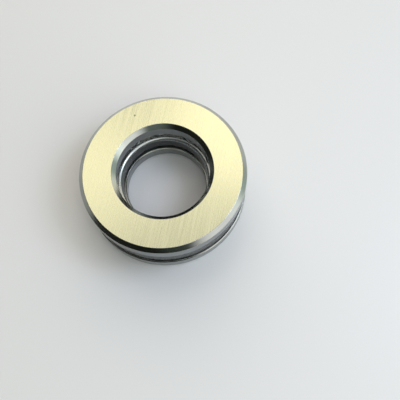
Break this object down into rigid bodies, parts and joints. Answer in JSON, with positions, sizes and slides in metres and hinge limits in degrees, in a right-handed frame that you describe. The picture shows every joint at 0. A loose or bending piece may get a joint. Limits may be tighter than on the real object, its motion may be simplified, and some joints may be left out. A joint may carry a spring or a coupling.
{
  "type": "thrust ball bearing",
  "caption": "Single-direction thrust ball bearing: two flat grooved steel washers with a ring of caged balls between them, for axial load on a rotating shaft.",
  "frame": {"origin": "centre of the shaft washer's mounting face, on the bearing's axis", "axes": "+Z along the bearing's axis, from the shaft washer to the housing washer; +X through the centre of ball_01"},
  "size_m": [0.04, 0.04, 0.014],
  "materials": {
    "shaft_washer_steel": "ground mounting face, fine-turned bore and outside",
    "housing_washer_steel": "ground mounting face, fine-turned bore and outside",
    "cage_steel": "cold-rolled pressed sheet, satin, lightly oiled",
    "ball_steel": "lapped and polished"
  },
  "bodies": {
    "housing_washer": {"housing_washer": "housing_washer_steel"},
    "shaft_washer": {"shaft_washer": "shaft_washer_steel"},
    "cage": {"cage_shell": "cage_steel", "cage_closing_ring": "cage_steel"},
    "ball_01": {"ball_01": "ball_steel"},
    "ball_02": {"ball_02": "ball_steel"},
    "ball_03": {"ball_03": "ball_steel"},
    "ball_04": {"ball_04": "ball_steel"},
    "ball_05": {"ball_05": "ball_steel"},
    "ball_06": {"ball_06": "ball_steel"},
    "ball_07": {"ball_07": "ball_steel"},
    "ball_08": {"ball_08": "ball_steel"},
    "ball_09": {"ball_09": "ball_steel"},
    "ball_10": {"ball_10": "ball_steel"}
  },
  "joints": [
    {"name": "shaft_spin", "type": "hinge", "parent": "housing_washer", "child": "shaft_washer", "pos_m": [0, 0, 0.007], "axis": [0, 0, 1], "continuous": true},
    {"name": "cage_spin", "type": "hinge", "parent": "housing_washer", "child": "cage", "pos_m": [0, 0, 0.007], "axis": [0, 0, 1], "continuous": true},
    {"name": "ball_01_roll", "type": "hinge", "parent": "cage", "child": "ball_01", "pos_m": [0.015, 0, 0.007], "axis": [1, 0, 0], "continuous": true},
    {"name": "ball_02_roll", "type": "hinge", "parent": "cage", "child": "ball_02", "pos_m": [0.01214, 0.00882, 0.007], "axis": [0.809, 0.5878, 0], "continuous": true},
    {"name": "ball_03_roll", "type": "hinge", "parent": "cage", "child": "ball_03", "pos_m": [0.00464, 0.01427, 0.007], "axis": [0.309, 0.9511, 0], "continuous": true},
    {"name": "ball_04_roll", "type": "hinge", "parent": "cage", "child": "ball_04", "pos_m": [-0.00464, 0.01427, 0.007], "axis": [-0.309, 0.9511, 0], "continuous": true},
    {"name": "ball_05_roll", "type": "hinge", "parent": "cage", "child": "ball_05", "pos_m": [-0.01214, 0.00882, 0.007], "axis": [-0.809, 0.5878, 0], "continuous": true},
    {"name": "ball_06_roll", "type": "hinge", "parent": "cage", "child": "ball_06", "pos_m": [-0.015, 0, 0.007], "axis": [-1, 0, 0], "continuous": true},
    {"name": "ball_07_roll", "type": "hinge", "parent": "cage", "child": "ball_07", "pos_m": [-0.01214, -0.00882, 0.007], "axis": [-0.809, -0.5878, 0], "continuous": true},
    {"name": "ball_08_roll", "type": "hinge", "parent": "cage", "child": "ball_08", "pos_m": [-0.00464, -0.01427, 0.007], "axis": [-0.309, -0.9511, 0], "continuous": true},
    {"name": "ball_09_roll", "type": "hinge", "parent": "cage", "child": "ball_09", "pos_m": [0.00464, -0.01427, 0.007], "axis": [0.309, -0.9511, 0], "continuous": true},
    {"name": "ball_10_roll", "type": "hinge", "parent": "cage", "child": "ball_10", "pos_m": [0.01214, -0.00882, 0.007], "axis": [0.809, -0.5878, 0], "continuous": true}
  ],
  "couplings": [
    {"joint": "cage_spin", "follows": "shaft_spin", "ratio": 0.5},
    {"joint": "ball_01_roll", "follows": "shaft_spin", "ratio": 1.8898},
    {"joint": "ball_02_roll", "follows": "shaft_spin", "ratio": 1.8898},
    {"joint": "ball_03_roll", "follows": "shaft_spin", "ratio": 1.8898},
    {"joint": "ball_04_roll", "follows": "shaft_spin", "ratio": 1.8898},
    {"joint": "ball_05_roll", "follows": "shaft_spin", "ratio": 1.8898},
    {"joint": "ball_06_roll", "follows": "shaft_spin", "ratio": 1.8898},
    {"joint": "ball_07_roll", "follows": "shaft_spin", "ratio": 1.8898},
    {"joint": "ball_08_roll", "follows": "shaft_spin", "ratio": 1.8898},
    {"joint": "ball_09_roll", "follows": "shaft_spin", "ratio": 1.8898},
    {"joint": "ball_10_roll", "follows": "shaft_spin", "ratio": 1.8898}
  ]
}
